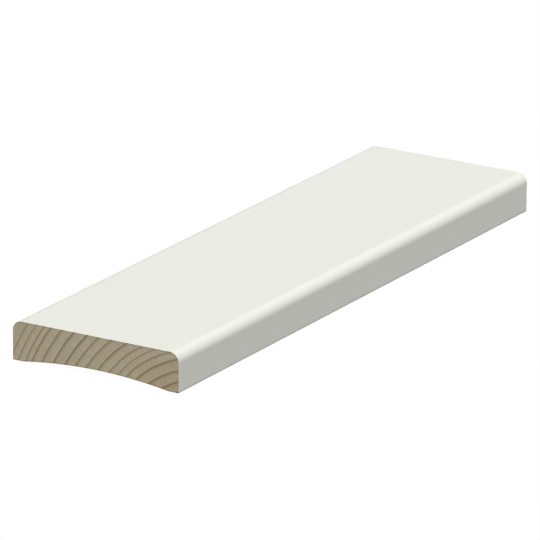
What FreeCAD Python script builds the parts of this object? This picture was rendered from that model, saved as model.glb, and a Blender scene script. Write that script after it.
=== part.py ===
"""A short length of pine architrave moulding, lying face up.

The piece is one stick of planed softwood. Its section is a flat board whose two
front arrises are rounded over and whose back is hollowed between two flat lands,
so that it beds on its edges against a wall and a door lining. Both ends are
square saw cuts.

Frame: X across the width, Y along the grain, Z from the back to the painted face.
The origin is at the middle of the back, level with the two lands. Millimetres.
"""

import FreeCAD, Part
import math
import os
import Sketcher

PIECE = "architrave_moulding"

# Driving sizes, one row each: alias, value, what it measures
SIZES = (
    ("width", 56.0, "across the face, edge to edge"),
    ("thickness", 12.0, "lands to face"),
    ("length", 200.0, "end to end, along the grain"),
    ("arris_radius", 3.0, "round-over of the two front arrises"),
    ("land_width", 3.5, "flat land along each side of the back"),
    ("hollow_depth", 1.9, "depth of the back hollow at its middle"),
)


def make_sheet(doc):
    """Keep every driving size in one sheet, under a plain word."""
    sheet = doc.addObject("Spreadsheet::Sheet", "sizes")
    for row, (alias, value, note) in enumerate(SIZES, start=1):
        sheet.set(f"A{row}", alias)
        sheet.set(f"B{row}", str(value))
        sheet.set(f"C{row}", note)
        sheet.setAlias(f"B{row}", alias)
    doc.recompute()
    return sheet


def origin_plane(body, role):
    """One of the body's own origin planes."""
    return next(plane for plane in body.Origin.OriginFeatures if plane.Role == role)


def point(x, z):
    """A point of the section, in the sketch's plane."""
    return FreeCAD.Vector(x, z, 0)


def quarter_round(centre, radius, first_angle):
    """A quarter of a circle, drawn anticlockwise from first_angle."""
    circle = Part.Circle(centre, FreeCAD.Vector(0, 0, 1), radius)
    return Part.ArcOfCircle(circle, first_angle, first_angle + math.pi / 2)


def start(edge):
    """Where an edge starts, as constraints name it: an axis starts at the origin."""
    return edge, 1


def end(edge):
    """Where an edge ends, as constraints name it."""
    return edge, 2


def draw_section(sketch, sheet):
    """Draw the outline, anticlockwise from its left foot, and number its edges."""
    half = sheet.width / 2
    top = sheet.thickness
    radius = sheet.arris_radius
    turn = half - radius
    shoulder = top - radius
    foot = half - sheet.land_width
    crown = point(0, sheet.hollow_depth)

    outline = {
        "left_land": Part.LineSegment(point(-half, 0), point(-foot, 0)),
        "hollow": Part.Arc(point(foot, 0), crown, point(-foot, 0)),
        "right_land": Part.LineSegment(point(foot, 0), point(half, 0)),
        "right_edge": Part.LineSegment(point(half, 0), point(half, shoulder)),
        "right_round": quarter_round(point(turn, shoulder), radius, 0),
        "face": Part.LineSegment(point(turn, top), point(-turn, top)),
        "left_round": quarter_round(point(-turn, shoulder), radius, math.pi / 2),
        "left_edge": Part.LineSegment(point(-half, shoulder), point(-half, 0)),
        "crown": Part.Point(crown),
    }
    edge = {name: sketch.addGeometry(shape, False) for name, shape in outline.items()}
    # the sketch's own two axes have numbers as well
    edge["across_axis"] = -1
    edge["upright_axis"] = -2
    return edge


def join_section(sketch, edge):
    """Close the outline, square it up and keep its two halves alike."""
    rule = Sketcher.Constraint
    for line in ("left_land", "right_land", "face"):
        sketch.addConstraint(rule("Horizontal", edge[line]))
    for line in ("left_edge", "right_edge"):
        sketch.addConstraint(rule("Vertical", edge[line]))

    # the back arrises are sharp, and so are the hollow's feet; its arc starts on the right
    corners = (
        (end(edge["left_edge"]), start(edge["left_land"])),
        (end(edge["left_land"]), end(edge["hollow"])),
        (start(edge["hollow"]), start(edge["right_land"])),
        (end(edge["right_land"]), start(edge["right_edge"])),
    )
    for one, other in corners:
        sketch.addConstraint(rule("Coincident", *one, *other))

    # the front arrises are smooth, from one long edge across the face to the other
    front = ("right_edge", "right_round", "face", "left_round", "left_edge")
    for one, other in zip(front, front[1:]):
        sketch.addConstraint(rule("Tangent", *end(edge[one]), *start(edge[other])))

    # the lands lie on the across axis, alike, with the crown midway between them
    left_corner, right_corner = start(edge["left_land"]), end(edge["right_land"])
    mirror = edge["upright_axis"]
    sketch.addConstraint(rule("Symmetric", *left_corner, *right_corner, mirror))
    sketch.addConstraint(rule("PointOnObject", *left_corner, edge["across_axis"]))
    sketch.addConstraint(rule("Equal", edge["left_land"], edge["right_land"]))
    sketch.addConstraint(rule("Equal", edge["left_round"], edge["right_round"]))
    sketch.addConstraint(rule("PointOnObject", *start(edge["crown"]), mirror))
    sketch.addConstraint(rule("PointOnObject", *start(edge["crown"]), edge["hollow"]))


def size_section(sketch, edge, sheet):
    """Give the outline its sizes, each bound to the cell that it is named after."""
    left_land, right_land = edge["left_land"], edge["right_land"]
    sized = {
        "width": ("DistanceX", *start(left_land), *end(right_land)),
        "thickness": ("DistanceY", *end(right_land), *start(edge["face"])),
        "arris_radius": ("Radius", edge["right_round"]),
        "land_width": ("DistanceX", *start(left_land), *end(left_land)),
        "hollow_depth": ("DistanceY", *start(edge["across_axis"]), *start(edge["crown"])),
    }
    for alias, (kind, *ends) in sized.items():
        value = getattr(sheet, alias)
        index = sketch.addConstraint(Sketcher.Constraint(kind, *ends, value))
        sketch.renameConstraint(index, alias)
        sketch.setExpression(f"Constraints.{alias}", f"{sheet.Name}.{alias}")


def make_moulding(doc, sheet):
    """Run the section along the whole length, equally to both sides of the middle."""
    body = doc.addObject("PartDesign::Body", PIECE)
    body.Label = PIECE
    body.Placement = FreeCAD.Placement()

    section = body.newObject("Sketcher::SketchObject", "section")
    section.AttachmentSupport = [(origin_plane(body, "XZ_Plane"), "")]
    section.MapMode = "FlatFace"
    doc.recompute()
    edge = draw_section(section, sheet)
    join_section(section, edge)
    size_section(section, edge, sheet)

    stick = body.newObject("PartDesign::Pad", "stick")
    stick.Profile = section
    stick.SideType = "Symmetric"
    stick.setExpression("Length", f"{sheet.Name}.length")
    doc.recompute()
    return body


def check(doc, body):
    """Stop before anything is written if a feature failed or the solid is unsound."""
    for item in doc.Objects:
        if {"Invalid", "Error"} & set(item.State):
            raise RuntimeError(f"{item.Name} failed: {item.State}")
    shape = body.Shape
    if shape.isNull() or not shape.isValid() or len(shape.Solids) != 1:
        raise RuntimeError(f"{body.Label} isn't one valid solid")


def main():
    doc = FreeCAD.newDocument("architrave")
    sheet = make_sheet(doc)
    body = make_moulding(doc, sheet)
    check(doc, body)
    os.makedirs("parts", exist_ok=True)
    body.Shape.exportStep(f"parts/{body.Label}.step")
    box = body.Shape.BoundBox
    print(f"{body.Label}: {box.XLength:.3f} x {box.YLength:.3f} x {box.ZLength:.3f} mm")
    print(f"volume {body.Shape.Volume:.1f} mm3, lands at z {box.ZMin:.3f}")


main()
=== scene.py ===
"""Looks of a short architrave moulding: one stick of pine, painted off-white on its
face, round-overs and long edges, and left bare on its hollowed back and sawn ends.

Everything is in metres, in the part's own frame: X across, Y along the grain,
Z up from the back to the painted face.
"""

import math

import bpy
import numpy as np
from mathutils import Matrix, Vector


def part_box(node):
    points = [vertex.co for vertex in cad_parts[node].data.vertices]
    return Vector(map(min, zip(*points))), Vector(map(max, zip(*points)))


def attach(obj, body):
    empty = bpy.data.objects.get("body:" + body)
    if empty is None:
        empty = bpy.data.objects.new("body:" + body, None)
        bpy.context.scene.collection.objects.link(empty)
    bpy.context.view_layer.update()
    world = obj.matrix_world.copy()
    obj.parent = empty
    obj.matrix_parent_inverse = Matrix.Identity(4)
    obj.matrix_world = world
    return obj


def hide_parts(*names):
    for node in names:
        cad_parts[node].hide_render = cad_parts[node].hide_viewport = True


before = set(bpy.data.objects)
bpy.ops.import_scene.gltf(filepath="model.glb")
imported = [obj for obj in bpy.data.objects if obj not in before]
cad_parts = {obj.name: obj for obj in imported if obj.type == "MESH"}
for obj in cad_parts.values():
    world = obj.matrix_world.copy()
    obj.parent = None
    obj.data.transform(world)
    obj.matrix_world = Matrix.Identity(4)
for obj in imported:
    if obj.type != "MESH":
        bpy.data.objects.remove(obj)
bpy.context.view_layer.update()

MM = 0.001
NODE = "architrave_moulding"
FAR_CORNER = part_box(NODE)[1]

# The section, from the frame's box and the sizes that it was drawn with
HALF_WIDTH = FAR_CORNER.x
HALF_LENGTH = FAR_CORNER.y
THICKNESS = FAR_CORNER.z
ARRIS_RADIUS = 3.0 * MM
LAND_WIDTH = 3.5 * MM
HOLLOW_DEPTH = 1.9 * MM
TURN = HALF_WIDTH - ARRIS_RADIUS
FOOT = HALF_WIDTH - LAND_WIDTH
HOLLOW_RADIUS = (FOOT**2 + HOLLOW_DEPTH**2) / (2 * HOLLOW_DEPTH)

# The long back arrises are eased by hand, too little to be in the section
EASE = 0.20 * MM

# Each sawn end's arris as steps out from the long faces: how far they lie from the end
# where they are painted and where they are bare, and how far into the section
ARRIS_STEPS = ((0.80 * MM, 0.30 * MM, 0.0), (0.25 * MM, 0.08 * MM, 0.012 * MM))
END_INSET = 0.05 * MM

# How unevenly the painted part of that arris runs: by what share, and in which waves
# round the section, as (how fast, where it starts)
UNEVEN_BY = 0.2
UNEVEN_WAVES = ((190, 0), (310, 1))

# Latewood stands proud on the sawn ends, less and less towards their rim
END_RELIEF = 0.03 * MM
RELIEF_FADE = 0.5 * MM

# Steps of the mesh; the ends are FINER times as fine as the long faces
ROUND_STEPS = 10
HOLLOW_STEPS = 90
RISE_STEPS = 22
ALONG_STEPS = 100
FINER = 3
SHARP_ANGLE = math.radians(35)

# The log: where its pith lies at the near end, how it has moved at the far end, and
# each year's growth from the pith outwards, as (width in mm, strength of its latewood)
PITH = (40.4 * MM, -27.2 * MM)
PITH_DRIFT = (-1.6 * MM, 1.1 * MM)
RAY_RADIUS = 50 * MM
FIRST_RADIUS = 24.74 * MM
YEARS = (
    (2.9, 0.82), (2.8, 0.84), (2.8, 0.94), (3.1, 0.9), (3.3, 0.9), (2.5, 0.85),
    (2.1, 0.65), (2.2, 0.85), (2.9, 0.95), (3.3, 0.8), (2.9, 0.8), (2.9, 1.1),
    (3.4, 0.9), (3.2, 0.8), (3.0, 0.95), (1.8, 1.0), (2.3, 0.7), (2.3, 0.7),
    (4.4, 0.9), (3.0, 0.9),
)

# The part of a year from which its latewood builds up, how long that takes, and how
# soon it stops at the next spring
LATE_FROM = 0.72
LATE_RISE = 0.2
LATE_STOP = 0.03

# The rings waver everywhere, in waves of (how fast round the pith, how long outwards,
# how long along the grain, where they start)
WAVER_BY = 0.05 * MM
WAVER_WAVES = (
    (37, 5.1 * MM, math.inf, 0.0),
    (53, -3.3 * MM, 31 * MM, 0.0),
    (0, 2.3 * MM, 17 * MM, 1.7),
    (19, math.inf, 47 * MM, 0.4),
)

# They sway more the further they are from the near end, in waves of (how long across,
# how long along the grain)
SWAY_BY = 0.9 * MM
SWAY_WAVES = ((math.inf, 63 * MM), (40 * MM, 29 * MM), (-9 * MM, 17 * MM))

# They bow out past circles near the face, and low down about a place to the right
FACE_BOW = 0.07 * MM
FACE_BOW_FROM = 9.5 * MM
FACE_BOW_OVER = 2 * MM
LOW_BOW = 0.30 * MM
LOW_BOW_FROM = 6 * MM
LOW_BOW_OVER = 4 * MM
LOW_BOW_AT = 10.5 * MM
LOW_BOW_SPREAD = 7 * MM
DRAWN_IN = 0.03 * MM

# Where the bake's map keeps each surface: the ends along the foot, the long faces above
MAP_EDGE = 0.006
MAP_END_WIDTH = 0.485
MAP_LONG_FOOT = 0.125

# The camera: a long lens, far off, looking down over the near right corner
LENS = 499.0
SENSOR = 36.0
AZIMUTH = math.radians(31.24)
ELEVATION = math.radians(18.20)
ROLL = math.radians(0.304)
DISTANCE = 2.213
TARGET = Vector((-2.64 * MM, 0.0, 3.61 * MM))

# The light, as the brightness that each gives a white surface facing it
KEY = 0.992
KEY_TOWARDS = Vector((0.43, -0.44, 0.79))
KEY_SPREAD = math.radians(25)
RIM = 0.18
RIM_TOWARDS = Vector((-0.03, 0.81, 0.586))
RIM_SPREAD = math.radians(30)
SKY = 0.08

# The floor: its grey as it lights the two sides that the camera sees and the other two,
# and how much of what is seen of it is plain white, without the shadow
FRONT_BOUNCE = 0.10
BEHIND_BOUNCE = 0.35
FLOOR_LIFT = 0.972
FLOOR_SIZE = 8.0
FLOOR_GAP = 0.02 * MM


def back_height(x):
    """Height of the back: an arc between the lands, which end in eased arrises."""
    inside = np.clip(np.abs(x), 0, FOOT)
    hollow = np.sqrt(HOLLOW_RADIUS**2 - inside**2) - (HOLLOW_RADIUS - HOLLOW_DEPTH)
    past = np.clip(np.abs(x) - (HALF_WIDTH - EASE), 0, EASE)
    return hollow + EASE - np.sqrt(EASE**2 - past**2)


def face_height(x):
    """Height of the painted side: flat, then round the arris."""
    past = np.clip(np.abs(x) - TURN, 0, ARRIS_RADIUS)
    return THICKNESS - ARRIS_RADIUS + np.sqrt(ARRIS_RADIUS**2 - past**2)


def columns(finer):
    """Where the section's columns stand across the width, evenly round each arris."""
    angles = np.linspace(math.pi / 2, 0, ROUND_STEPS * finer + 1)
    left_round = -TURN - ARRIS_RADIUS * np.sin(angles)
    left_land = np.linspace(-TURN, -FOOT, finer + 1)
    hollow = np.linspace(-FOOT, FOOT, HOLLOW_STEPS * finer + 1)
    left = np.concatenate([left_round, left_land[1:]])
    return np.concatenate([left, hollow[1:-1], -left[::-1]])


def section(finer):
    """The section as a grid of points: columns across, rows from the back to the face."""
    x = columns(finer)
    rise = np.linspace(0, 1, RISE_STEPS * finer + 1)
    low, high = back_height(x), face_height(x)
    z = low[:, None] + (high - low)[:, None] * rise
    return np.stack([np.repeat(x[:, None], len(rise), axis=1), z], axis=2)


def rim_of(grid_shape):
    """The grid's border cells in order, from the left back arris along the back."""
    last_column, last_row = grid_shape[0] - 1, grid_shape[1] - 1
    back = [(i, 0) for i in range(last_column)]
    right = [(last_column, j) for j in range(last_row)]
    face = [(i, last_row) for i in range(last_column, 0, -1)]
    left = [(0, j) for j in range(last_row, 0, -1)]
    return np.array(back + right + face + left)


def inwards(outline):
    """For each point of a closed outline, the step that offsets both its sides by one."""
    ahead = np.roll(outline, -1, axis=0) - outline
    ahead /= np.linalg.norm(ahead, axis=1)[:, None]
    after = np.stack([-ahead[:, 1], ahead[:, 0]], axis=1)
    before = np.roll(after, 1, axis=0)
    return (before + after) / (1 + (before * after).sum(axis=1))[:, None]


def end_grid():
    """The section's fine grid, drawn in from its outline as the sawn ends are."""
    grid = section(FINER)
    rim = rim_of(grid.shape)
    outline = grid[rim[:, 0], rim[:, 1]]
    drawn = outline + END_INSET * inwards(outline)
    grid[rim[:, 0], rim[:, 1]] = drawn
    rise = np.linspace(0, 1, grid.shape[1])[None, :, None]
    inner = grid[1:-1]
    grid[1:-1] = inner[:, :1] + (inner[:, -1:] - inner[:, :1]) * rise
    return grid


def ripple(waves):
    """A smooth wander between about -1 and 1: a sum of sines of unlike lengths."""
    sines = [np.sin(wave) for wave in waves]
    return sum(sines) / len(sines)


def bow(x, z):
    """How far the rings bow out past circles."""
    high = np.clip((z - FACE_BOW_FROM) / FACE_BOW_OVER, 0, 1)
    low = np.clip((LOW_BOW_FROM - z) / LOW_BOW_OVER, 0, 1)
    beside = np.exp(-(((x - LOW_BOW_AT) / LOW_BOW_SPREAD) ** 2))
    return FACE_BOW * high + LOW_BOW * low * beside - DRAWN_IN


def growth(places):
    """The log's rings at some points: years, strength, distance out and distance round."""
    x, y, z = places.T
    along = (y + HALF_LENGTH) / (2 * HALF_LENGTH)
    east = x - PITH[0] - PITH_DRIFT[0] * along
    north = z - PITH[1] - PITH_DRIFT[1] * along
    radius = np.hypot(east, north)
    angle = np.arctan2(north, east)
    waver = ripple(
        angle * turns + radius / outwards + y / lengthwise + start
        for turns, outwards, lengthwise, start in WAVER_WAVES
    )
    sway = ripple(x / across + y / lengthwise for across, lengthwise in SWAY_WAVES)
    radius = radius + waver * WAVER_BY + sway * along * SWAY_BY + bow(x, z)
    widths, strengths = np.array(YEARS).T
    rings = FIRST_RADIUS + np.concatenate([[0], np.cumsum(widths)]) * MM
    years = np.interp(radius, rings, np.arange(len(rings)))
    strength = np.interp(radius, rings[1:], strengths)
    return years, strength, radius, angle * RAY_RADIUS


def latewood(years, strength):
    """How much denser the wood is than earlywood: it builds up through each year."""
    part = years % 1
    rising = np.clip((part - LATE_FROM) / LATE_RISE, 0, 1)
    stopping = np.clip((1 - part) / LATE_STOP, 0, 1)
    return strength * rising * stopping


def rim_distances(x, z):
    """How far points of the section lie from its back, and from its painted sides."""
    across = np.maximum(np.abs(x) - TURN, 0)
    upwards = np.maximum(z - (THICKNESS - ARRIS_RADIUS), 0)
    sides = np.minimum(HALF_WIDTH - np.abs(x), ARRIS_RADIUS - np.hypot(across, upwards))
    return z - back_height(x), sides


# The numbers of the stick's materials, in the order in which they are put on it
PAINT, BACK, SAWN = range(3)


class Lattice:
    """The stick as one closed mesh: long faces in loops of points, and two fine ends."""

    def __init__(self):
        self.points = []
        self.faces = []
        self.materials = []
        self.maps = []
        self.count = 0

    def add_points(self, points):
        """Keep some points and return their numbers, in the same arrangement."""
        flat = points.reshape(-1, 3)
        numbers = self.count + np.arange(len(flat)).reshape(points.shape[:-1])
        self.points.append(flat)
        self.count += len(flat)
        return numbers

    def add_face(self, corners, places, material):
        """Keep a face: its corners' numbers, their places on the map, its material."""
        self.faces.append([int(corner) for corner in corners])
        self.maps.extend(places)
        self.materials.append(material)


def loop_points(outline, y):
    """A loop round the stick at a distance along it, one number or one each point."""
    along = np.broadcast_to(y, len(outline))
    return np.stack([outline[:, 0], along, outline[:, 1]], axis=1)


def distance_round(outline):
    """How far round the outline each point lies, as a share, ending back at one."""
    steps = np.linalg.norm(np.roll(outline, -1, axis=0) - outline, axis=1)
    return np.concatenate([[0], np.cumsum(steps)]) / steps.sum()


def map_long(share_round, y):
    """Place of a point of the long faces on the map."""
    across = MAP_EDGE + (1 - 2 * MAP_EDGE) * share_round
    share_along = (HALF_LENGTH - y) / (2 * HALF_LENGTH)
    return across, MAP_LONG_FOOT + (1 - MAP_EDGE - MAP_LONG_FOOT) * share_along


def map_end(x, z, side):
    """Place of a point of an end on the map; side is -1 at the near end, 1 at the far."""
    across = (HALF_WIDTH - side * x) / (2 * HALF_WIDTH) * MAP_END_WIDTH
    start = MAP_EDGE if side < 0 else 1 - MAP_EDGE - MAP_END_WIDTH
    return start + across, MAP_EDGE + z / (2 * HALF_WIDTH) * MAP_END_WIDTH


def add_long_faces(lattice, outline, painted, bare_points):
    """The painted face, round-overs and edges and the bare back, in loops along Y."""
    share = distance_round(outline)
    wander = ripple(share[:-1] * speed + start for speed, start in UNEVEN_WAVES)
    falls = []
    for paint_fall, bare_fall, inset in ARRIS_STEPS:
        fall = np.where(bare_points, bare_fall, paint_fall * (1 + UNEVEN_BY * wander))
        falls.append((fall, outline + inset * inwards(outline)))
    rows = np.linspace(-HALF_LENGTH, HALF_LENGTH, ALONG_STEPS + 1)[1:-1]
    along = [(fall - HALF_LENGTH, drawn) for fall, drawn in reversed(falls)]
    along += [(np.full(len(outline), y), outline) for y in rows]
    along += [(HALF_LENGTH - fall, drawn) for fall, drawn in falls]
    loops = [lattice.add_points(loop_points(drawn, y)) for y, drawn in along]
    spots = [y for y, _ in along]
    for row in range(len(loops) - 1):
        near, far = loops[row], loops[row + 1]
        for step in range(len(outline)):
            after = (step + 1) % len(outline)
            corners = (near[step], far[step], far[after], near[after])
            places = (
                map_long(share[step], spots[row][step]),
                map_long(share[step], spots[row + 1][step]),
                map_long(share[step + 1], spots[row + 1][after]),
                map_long(share[step + 1], spots[row][after]),
            )
            lattice.add_face(corners, places, PAINT if painted[step] else BACK)
    return loops[0], loops[-1]


def add_end(lattice, grid, side):
    """One sawn end: its grid of faces, with the latewood standing a hair proud."""
    x, z = grid[..., 0], grid[..., 1]
    flat = np.stack([x, np.full_like(x, side * HALF_LENGTH), z], axis=-1).reshape(-1, 3)
    years, strength, _, _ = growth(flat)
    proud = np.clip(latewood(years, strength), 0, 1)
    rim = np.minimum(*rim_distances(flat[:, 0], flat[:, 2]))
    inside = np.clip(rim / RELIEF_FADE, 0, 1)
    flat[:, 1] -= side * END_RELIEF * inside * (1 - proud)
    numbers = lattice.add_points(flat.reshape(*x.shape, 3))
    for i in range(x.shape[0] - 1):
        for j in range(x.shape[1] - 1):
            cells = [(i, j), (i + 1, j), (i + 1, j + 1), (i, j + 1)]
            if side > 0:
                cells.reverse()
            places = [map_end(x[cell], z[cell], side) for cell in cells]
            lattice.add_face([numbers[cell] for cell in cells], places, SAWN)
    return numbers


def add_fall(lattice, loop, numbers, share, painted, side):
    """The last of the arris, between a coarse loop and an end's fine border."""
    rim = rim_of(numbers.shape)
    fine = numbers[rim[:, 0], rim[:, 1]]
    places = np.concatenate(lattice.points)
    steps = len(loop)

    def spot(number, round_share):
        return map_long(round_share, places[number][1])

    for step in range(steps):
        one, two = loop[step], loop[(step + 1) % steps]
        ends = [fine[(step * FINER + k) % len(fine)] for k in range(FINER + 1)]
        shares = np.linspace(share[step], share[step + 1], FINER + 1)
        spots = [spot(number, s) for number, s in zip(ends, shares)]
        spot_one, spot_two = spot(one, share[step]), spot(two, share[step + 1])
        faces = [((ends[0], one, ends[1]), (spots[0], spot_one, spots[1]))]
        faces.append(((ends[1], one, two), (spots[1], spot_one, spot_two)))
        for k in range(1, FINER):
            corners = (ends[k], two, ends[k + 1])
            faces.append((corners, (spots[k], spot_two, spots[k + 1])))
        for corners, where in faces:
            if side > 0:
                corners, where = corners[::-1], where[::-1]
            lattice.add_face(corners, where, PAINT if painted[step] else SAWN)


def make_lattice():
    """The stick's points and faces, with the back and the ends left bare."""
    lattice = Lattice()
    coarse = section(1)
    rim = rim_of(coarse.shape)
    outline = coarse[rim[:, 0], rim[:, 1]]
    share = distance_round(outline)
    bare_points = outline[:, 1] < HOLLOW_DEPTH + EASE
    bare_points &= np.abs(outline[:, 0]) < HALF_WIDTH - EASE
    painted = ~(bare_points | np.roll(bare_points, -1))
    near_loop, far_loop = add_long_faces(lattice, outline, painted, bare_points)
    for side, loop in ((-1, near_loop), (1, far_loop)):
        numbers = add_end(lattice, end_grid(), side)
        add_fall(lattice, loop, numbers, share, painted, side)
    return lattice


# The painted shade along the end grain's rim is narrower beside the paint, by this
RIM_SHADE_NARROWER = 0.2 * MM


def keep_growth(mesh, places):
    """Keep what the wood's materials read at each point: its rings, and its distance from the
    rim for the painted shade there.
    """
    years, strength, radius, around = growth(places)
    from_back, from_sides = rim_distances(places[:, 0], places[:, 2])
    kept = {
        "years": years,
        "strength": strength,
        "outwards": radius,
        "around": around,
        # the distance from the rim is read only for the painted shade along the end grain's
        # edges
        "rim": np.minimum(from_back, from_sides + RIM_SHADE_NARROWER),
    }
    for name, values in kept.items():
        mesh.attributes.new(name, "FLOAT", "POINT").data.foreach_set("value", values)


def build_stick():
    """The whole stick as a mesh object, with its growth kept at every point."""
    lattice = make_lattice()
    places = np.concatenate(lattice.points)
    mesh = bpy.data.meshes.new("painted_stick")
    mesh.from_pydata(places.tolist(), [], lattice.faces)
    mesh.polygons.foreach_set("material_index", lattice.materials)
    mesh.uv_layers.new(name="OFBake").data.foreach_set("uv", np.ravel(lattice.maps))
    mesh.set_sharp_from_angle(angle=SHARP_ANGLE)
    keep_growth(mesh, places)
    mesh.validate()
    stick = bpy.data.objects.new("painted_stick", mesh)
    bpy.context.scene.collection.objects.link(stick)
    return stick


# Most of the noise lies in this range
NOISE_RANGE = (0.3, 0.7)


class Shader:
    """A hand for wiring one material's nodes."""

    def __init__(self, name):
        self.material = bpy.data.materials.new(name)
        self.material.use_nodes = True
        self.tree = self.material.node_tree
        self.surface = self.tree.nodes["Principled BSDF"]
        self.place = self.node("ShaderNodeTexCoord").outputs["Object"]

    def node(self, kind, **settings):
        """A new node of a kind, with its settings."""
        made = self.tree.nodes.new(kind)
        for name, value in settings.items():
            setattr(made, name, value)
        return made

    def feed(self, socket, value):
        """Wire an output to a socket, or set the socket to a plain value."""
        if isinstance(value, bpy.types.NodeSocket):
            self.tree.links.new(value, socket)
        else:
            socket.default_value = value

    def read(self, name):
        """A number kept at the mesh's points."""
        return self.node("ShaderNodeAttribute", attribute_name=name).outputs["Fac"]

    def calculate(self, operation, *values):
        """The outcome of one operation on some numbers."""
        made = self.node("ShaderNodeMath", operation=operation)
        for socket, value in zip(made.inputs, values):
            self.feed(socket, value)
        return made.outputs[0]

    def coordinate(self, axis):
        """Place along one axis, numbered from zero."""
        made = self.node("ShaderNodeSeparateXYZ")
        self.feed(made.inputs[0], self.place)
        return made.outputs[axis]

    def across(self):
        """Distance to the right of the middle."""
        return self.coordinate(0)

    def along(self):
        """Distance along the stick from its middle."""
        return self.coordinate(1)

    def height(self):
        """Height above the lands."""
        return self.coordinate(2)

    def joined(self, *values):
        """Three numbers as one place or colour."""
        made = self.node("ShaderNodeCombineXYZ")
        for socket, value in zip(made.inputs, values):
            self.feed(socket, value)
        return made.outputs[0]

    def noise(self, place, detail):
        """Smooth noise about 0.5, with features about one unit of the place across."""
        made = self.node("ShaderNodeTexNoise")
        self.feed(made.inputs["Vector"], place)
        made.inputs["Scale"].default_value = 1.0
        made.inputs["Detail"].default_value = detail
        return made.outputs[0]

    def pattern(self, grain, detail):
        """Noise with so many features a metre across X, Y and Z."""
        made = self.node("ShaderNodeVectorMath", operation="MULTIPLY")
        self.feed(made.inputs[0], self.place)
        made.inputs[1].default_value = grain
        return self.noise(made.outputs[0], detail)

    def span(self, value, low, high, to_low=0.0, to_high=1.0):
        """A value carried from one range to another, and held at its ends."""
        made = self.node("ShaderNodeMapRange", clamp=True)
        for socket, number in zip(made.inputs, (value, low, high, to_low, to_high)):
            self.feed(socket, number)
        return made.outputs[0]

    def spread(self, noise, to_low=0.0, to_high=1.0):
        """Noise carried from the range that it mostly keeps to another."""
        return self.span(noise, *NOISE_RANGE, to_low, to_high)

    def blend(self, one, other, share):
        """Two numbers as one, with the first one's share of it."""
        rest = self.calculate("MULTIPLY", other, 1 - share)
        return self.calculate("MULTIPLY_ADD", one, share, rest)

    def ramp(self, value, stops):
        """A curve through (position, brightness) stops."""
        made = self.node("ShaderNodeValToRGB")
        points = made.color_ramp.elements
        while len(points) < len(stops):
            points.new(0.5)
        for point, (position, grey) in zip(points, stops):
            point.position = position
            point.color = (grey, grey, grey, 1)
        self.feed(made.inputs[0], value)
        return made.outputs[0]

    def mix(self, factor, one, other, blend="MIX"):
        """One colour turning into another, or multiplied by it, by a factor."""
        made = self.node("ShaderNodeMix", data_type="RGBA", blend_type=blend)
        # the node has sockets of each type; these are its factor and its colours
        self.feed(made.inputs[0], factor)
        self.feed(made.inputs[6], one)
        self.feed(made.inputs[7], other)
        return made.outputs[2]

    def bump(self, height, distance, under=None):
        """Relief of a height, on top of what lies under it."""
        made = self.node("ShaderNodeBump")
        made.inputs["Distance"].default_value = distance
        self.feed(made.inputs["Height"], height)
        if under is not None:
            self.feed(made.inputs["Normal"], under)
        return made.outputs[0]

    def finish(self, colour, roughness, normal, specular):
        """The material, with its surface fed."""
        self.feed(self.surface.inputs["Base Color"], colour)
        self.feed(self.surface.inputs["Roughness"], roughness)
        self.feed(self.surface.inputs["Normal"], normal)
        self.surface.inputs["Specular IOR Level"].default_value = specular
        return self.material


def linear(tone):
    """A tone given as on a screen, from 0 to 255, as a material takes it."""
    return (*(linear_part(part / 255) for part in tone), 1.0)


def linear_part(part):
    """One channel of a tone, from 0 to 1."""
    return part / 12.92 if part <= 0.04045 else ((part + 0.055) / 1.055) ** 2.4


# Patterns of noise, as (features a metre across X, Y and Z, how many finer layers)
PAINT_CLOUD = ((180, 60, 180), 3)
PAINT_SPECKLE = ((3600, 2200, 3600), 0)
PAINT_STIPPLE = ((900, 800, 900), 2)
PAINT_GRAIN = ((1300, 28, 1300), 3)
RING_FUZZ = ((900, 300, 900), 1)
PORES = ((2600, 2600, 2600), 3)
FIBRES = ((3200, 55, 3200), 3)
STREAKS = ((500, 9, 500), 2)
OVERSPRAY = ((300, 240, 300), 3)

# The paint: its two tones and the speckle's share in them, and the darker tone of the painted
# shade at its foot, with the heights between which that fades out
PAINT_TONES = ((230, 231, 222), (241, 242, 233))
SPECKLE_SHARE = 0.8
FOOT_SHADE_TONE = (208, 207, 196)
FOOT_SHADE_SPAN = (0.15 * MM, 0.55 * MM)
PAINT_GRAIN_RISE = 0.006 * MM
STIPPLE_RISE = 0.008 * MM
PAINT_ROUGHNESS = (0.62, 0.70)
PAINT_SPECULAR = 0.2


def paint_colour(shader):
    """Off-white paint, a shade uneven over a few millimetres, with painted shade at its foot.
    """
    cloud = shader.pattern(*PAINT_CLOUD)
    speckle = shader.pattern(*PAINT_SPECKLE)
    uneven = shader.blend(speckle, cloud, SPECKLE_SHARE)
    colour = shader.mix(uneven, *map(linear, PAINT_TONES))
    # painted shade: the paint is darker over its lowest half millimetre, where the sides meet
    # the floor
    foot_shade = shader.span(shader.height(), *FOOT_SHADE_SPAN, 1.0, 0.0)
    return shader.mix(foot_shade, colour, linear(FOOT_SHADE_TONE))


def white_paint():
    """Satin factory paint: sprayed stipple, with the grain just showing along it."""
    shader = Shader("satin_white_paint")
    stipple = shader.pattern(*PAINT_STIPPLE)
    normal = shader.bump(shader.pattern(*PAINT_GRAIN), PAINT_GRAIN_RISE)
    normal = shader.bump(stipple, STIPPLE_RISE, normal)
    roughness = shader.spread(stipple, *PAINT_ROUGHNESS)
    return shader.finish(paint_colour(shader), roughness, normal, PAINT_SPECULAR)


# How dark the wood is through a year, and by what part of a year that is unsharp
YEAR_STOPS = (
    (0.0, 0.8), (0.03, 0.0), (0.5, 0.02), (0.74, 0.14),
    (0.86, 0.55), (0.93, 1.0), (0.985, 1.0),
)
RING_FUZZ_BY = 0.02


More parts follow.
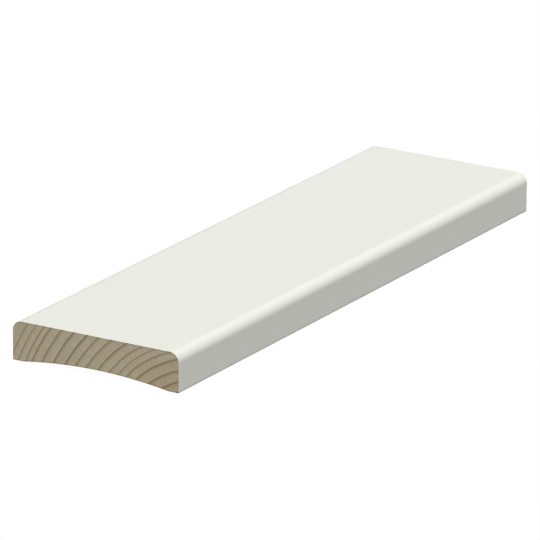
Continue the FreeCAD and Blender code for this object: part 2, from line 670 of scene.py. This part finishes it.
def year_curve(shader):
    """Latewood through the year: it builds up slowly, then stops at the next spring."""
    fuzz = shader.span(shader.pattern(*RING_FUZZ), 0, 1, -RING_FUZZ_BY, RING_FUZZ_BY)
    years = shader.calculate("ADD", shader.read("years"), fuzz)
    dark = shader.ramp(shader.calculate("FRACT", years), YEAR_STOPS)
    return shader.calculate("MULTIPLY", dark, shader.read("strength"))


# The end grain: its tones, its rays as features a metre round and out from the pith,
# the tints of the log's heart and of its bark side, and the painted shade along the rim of the
# sawn end
END_TONES = ((197, 180, 142), (223, 217, 197))
END_LATEWOOD = (163, 132, 91)
RAYS_ROUND = 2500
RAYS_OUTWARDS = 330
RAYS_DETAIL = 2
RAY_SHARE = 0.55
HEART_SPAN = (32 * MM, 42 * MM)
HEART_TINT = (0.93, 0.88, 0.78, 1.0)
BARK_SPAN = (72.5 * MM, 75 * MM)
BARK_TINT = (0.94, 0.93, 0.90, 1.0)
RIM_SHADE_SPAN = (0.13 * MM, 0.5 * MM)
RIM_SHADE_TINT = (0.62, 0.53, 0.40, 1.0)
PORE_RISE = 0.02 * MM
RAY_RISE = 0.012 * MM
END_ROUGHNESS = (0.85, 0.7)
END_SPECULAR = 0.2


def ray_flecks(shader):
    """Noise drawn out along the wood's rays, from the pith outwards."""
    around = shader.calculate("MULTIPLY", shader.read("around"), RAYS_ROUND)
    outwards = shader.calculate("MULTIPLY", shader.read("outwards"), RAYS_OUTWARDS)
    return shader.noise(shader.joined(around, outwards, 0.0), RAYS_DETAIL)


def sawn_pine():
    """End grain: rings cut across, fine rays square to them, and a rough sawn skin."""
    shader = Shader("sawn_pine_end_grain")
    dense = year_curve(shader)
    rays = ray_flecks(shader)
    pores = shader.pattern(*PORES)
    tone = shader.blend(shader.spread(rays), shader.spread(pores), RAY_SHARE)
    early = shader.mix(tone, *map(linear, END_TONES))
    colour = shader.mix(dense, early, linear(END_LATEWOOD))
    outwards = shader.read("outwards")
    tints = (
        (shader.span(outwards, *HEART_SPAN, 1.0, 0.0), HEART_TINT),
        (shader.span(outwards, *BARK_SPAN), BARK_TINT),
        # painted shade: the end grain darkens towards its rim, over a wider band along the
        # back
        (shader.span(shader.read("rim"), *RIM_SHADE_SPAN, 1.0, 0.0), RIM_SHADE_TINT),
    )
    for amount, tint in tints:
        colour = shader.mix(amount, colour, tint, "MULTIPLY")
    normal = shader.bump(pores, PORE_RISE)
    normal = shader.bump(rays, RAY_RISE, normal)
    roughness = shader.span(dense, 0, 1, *END_ROUGHNESS)
    return shader.finish(colour, roughness, normal, END_SPECULAR)


# The planed back: its tones, the shade of its fibres, how far in the overspray reaches,
# and the marks of the cutter
BACK_TONES = ((221, 200, 161), (235, 217, 181))
BACK_LATEWOOD = (196, 154, 102)
FIBRE_SHADE = (0.93, 1.05)
OVERSPRAY_REACH = (0.1 * MM, 0.7 * MM)
FIBRE_RISE = 0.02 * MM
CUTTER_PITCH = 1.8 * MM
CUTTER_RISE = 0.002 * MM
BACK_ROUGHNESS = (0.66, 0.55)
BACK_SPECULAR = 0.3


def overspray(shader):
    """One where paint has strayed onto the back, a ragged way in from both edges."""
    from_middle = shader.calculate("ABSOLUTE", shader.across())
    inside = shader.calculate("SUBTRACT", HALF_WIDTH, from_middle)
    reach = shader.spread(shader.pattern(*OVERSPRAY), *OVERSPRAY_REACH)
    return shader.calculate("LESS_THAN", inside, reach)


def planed_pine():
    """The planed back: the same rings cut lengthwise, fibres, and cutter marks."""
    shader = Shader("planed_pine_back")
    dense = year_curve(shader)
    fibres = shader.pattern(*FIBRES)
    early = shader.mix(shader.pattern(*STREAKS), *map(linear, BACK_TONES))
    colour = shader.mix(dense, early, linear(BACK_LATEWOOD))
    shade = shader.spread(fibres, *FIBRE_SHADE)
    colour = shader.mix(1.0, colour, shader.joined(shade, shade, shade), "MULTIPLY")
    colour = shader.mix(overspray(shader), colour, paint_colour(shader))
    cutter = shader.calculate("MULTIPLY", shader.along(), 2 * math.pi / CUTTER_PITCH)
    normal = shader.bump(fibres, FIBRE_RISE)
    normal = shader.bump(shader.calculate("SINE", cutter), CUTTER_RISE, normal)
    roughness = shader.span(dense, 0, 1, *BACK_ROUGHNESS)
    return shader.finish(colour, roughness, normal, BACK_SPECULAR)


def seen_directly(tree):
    """One where the camera, a reflection or a view through glass meets the surface."""
    rays = tree.nodes.new("ShaderNodeLightPath").outputs
    seen = rays["Is Camera Ray"]
    for other in ("Is Glossy Ray", "Is Transmission Ray"):
        either = tree.nodes.new("ShaderNodeMath")
        either.operation = "MAXIMUM"
        tree.links.new(seen, either.inputs[0])
        tree.links.new(rays[other], either.inputs[1])
        seen = either.outputs[0]
    return seen


def mixed(tree, factor, one, other):
    """One shader turning into another by a factor."""
    made = tree.nodes.new("ShaderNodeMixShader")
    if isinstance(factor, float):
        made.inputs[0].default_value = factor
    else:
        tree.links.new(factor, made.inputs[0])
    tree.links.new(one, made.inputs[1])
    tree.links.new(other, made.inputs[2])
    return made.outputs[0]


def plain_shader(tree, kind, grey):
    """A shader of one grey."""
    made = tree.nodes.new(kind)
    made.inputs["Color"].default_value = (grey, grey, grey, 1)
    return made.outputs[0]


def floor_material(name, bounce):
    """Seen as white with a faint shadow, while it lights the object by its own grey."""
    material = bpy.data.materials.new(name)
    material.use_nodes = True
    tree = material.node_tree
    tree.nodes.remove(tree.nodes["Principled BSDF"])
    thrown = plain_shader(tree, "ShaderNodeBsdfDiffuse", bounce)
    shaded = plain_shader(tree, "ShaderNodeBsdfDiffuse", 1.0)
    white = plain_shader(tree, "ShaderNodeEmission", 1.0)
    shown = mixed(tree, FLOOR_LIFT, shaded, white)
    surface = mixed(tree, seen_directly(tree), thrown, shown)
    tree.links.new(surface, tree.nodes["Material Output"].inputs["Surface"])
    return material


def make_floor():
    """A pale floor, which throws more light on the two sides that the camera misses."""
    half = FLOOR_SIZE / 2
    corners = [(-half, -half), (half, -half), (half, half), (-half, half)]
    under = [(-HALF_WIDTH, -HALF_LENGTH), (HALF_WIDTH, HALF_LENGTH)]
    # two halves, which meet along the diagonal of the stick
    front, behind = (0, 1, 2, 5, 4), (0, 4, 5, 2, 3)
    mesh = bpy.data.meshes.new("floor")
    mesh.from_pydata([(x, y, -FLOOR_GAP) for x, y in corners + under], [], [front, behind])
    mesh.polygons.foreach_set("material_index", (0, 1))
    mesh.materials.append(floor_material("floor_in_front", FRONT_BOUNCE))
    mesh.materials.append(floor_material("floor_behind", BEHIND_BOUNCE))
    floor = bpy.data.objects.new("floor", mesh)
    bpy.context.scene.collection.objects.link(floor)


def make_world():
    """An even grey sky for the light, and a white one where it is seen."""
    world = bpy.data.worlds.new("studio")
    bpy.context.scene.world = world
    world.use_nodes = True
    tree = world.node_tree
    tree.nodes.remove(tree.nodes["Background"])
    sky = plain_shader(tree, "ShaderNodeBackground", SKY)
    white = plain_shader(tree, "ShaderNodeBackground", 1.0)
    surface = mixed(tree, seen_directly(tree), sky, white)
    tree.links.new(surface, tree.nodes["World Output"].inputs["Surface"])


def make_sun(name, brightness, towards, spread):
    """A soft distant lamp; a white surface facing it is as bright as it says."""
    lamp = bpy.data.lights.new(name, "SUN")
    lamp.energy = brightness * math.pi
    lamp.angle = spread
    holder = bpy.data.objects.new(name, lamp)
    holder.rotation_mode = "QUATERNION"
    holder.rotation_quaternion = towards.to_track_quat("Z", "Y")
    bpy.context.scene.collection.objects.link(holder)


def make_camera():
    """The photograph's camera, turned a little about its own line of sight."""
    flat = math.cos(ELEVATION)
    ahead = Vector((-math.sin(AZIMUTH) * flat, math.cos(AZIMUTH) * flat, -math.sin(ELEVATION)))
    level = Vector((math.cos(AZIMUTH), math.sin(AZIMUTH), 0))
    upright = level.cross(ahead)
    right = level * math.cos(ROLL) + upright * math.sin(ROLL)
    up = upright * math.cos(ROLL) - level * math.sin(ROLL)
    data = bpy.data.cameras.new("camera")
    data.lens = LENS
    data.sensor_width = SENSOR
    camera = bpy.data.objects.new("camera", data)
    turned = Matrix((right, up, -ahead)).transposed().to_4x4()
    camera.matrix_world = Matrix.Translation(TARGET - ahead * DISTANCE) @ turned
    bpy.context.scene.collection.objects.link(camera)
    bpy.context.scene.camera = camera


def main():
    scene = bpy.context.scene
    scene.view_settings.view_transform = "Standard"
    make_camera()
    stick = build_stick()
    for material in (white_paint(), planed_pine(), sawn_pine()):
        stick.data.materials.append(material)
    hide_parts(NODE)
    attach(stick, "root")
    make_floor()
    make_world()
    make_sun("key", KEY, KEY_TOWARDS, KEY_SPREAD)
    make_sun("rim", RIM, RIM_TOWARDS, RIM_SPREAD)


main()
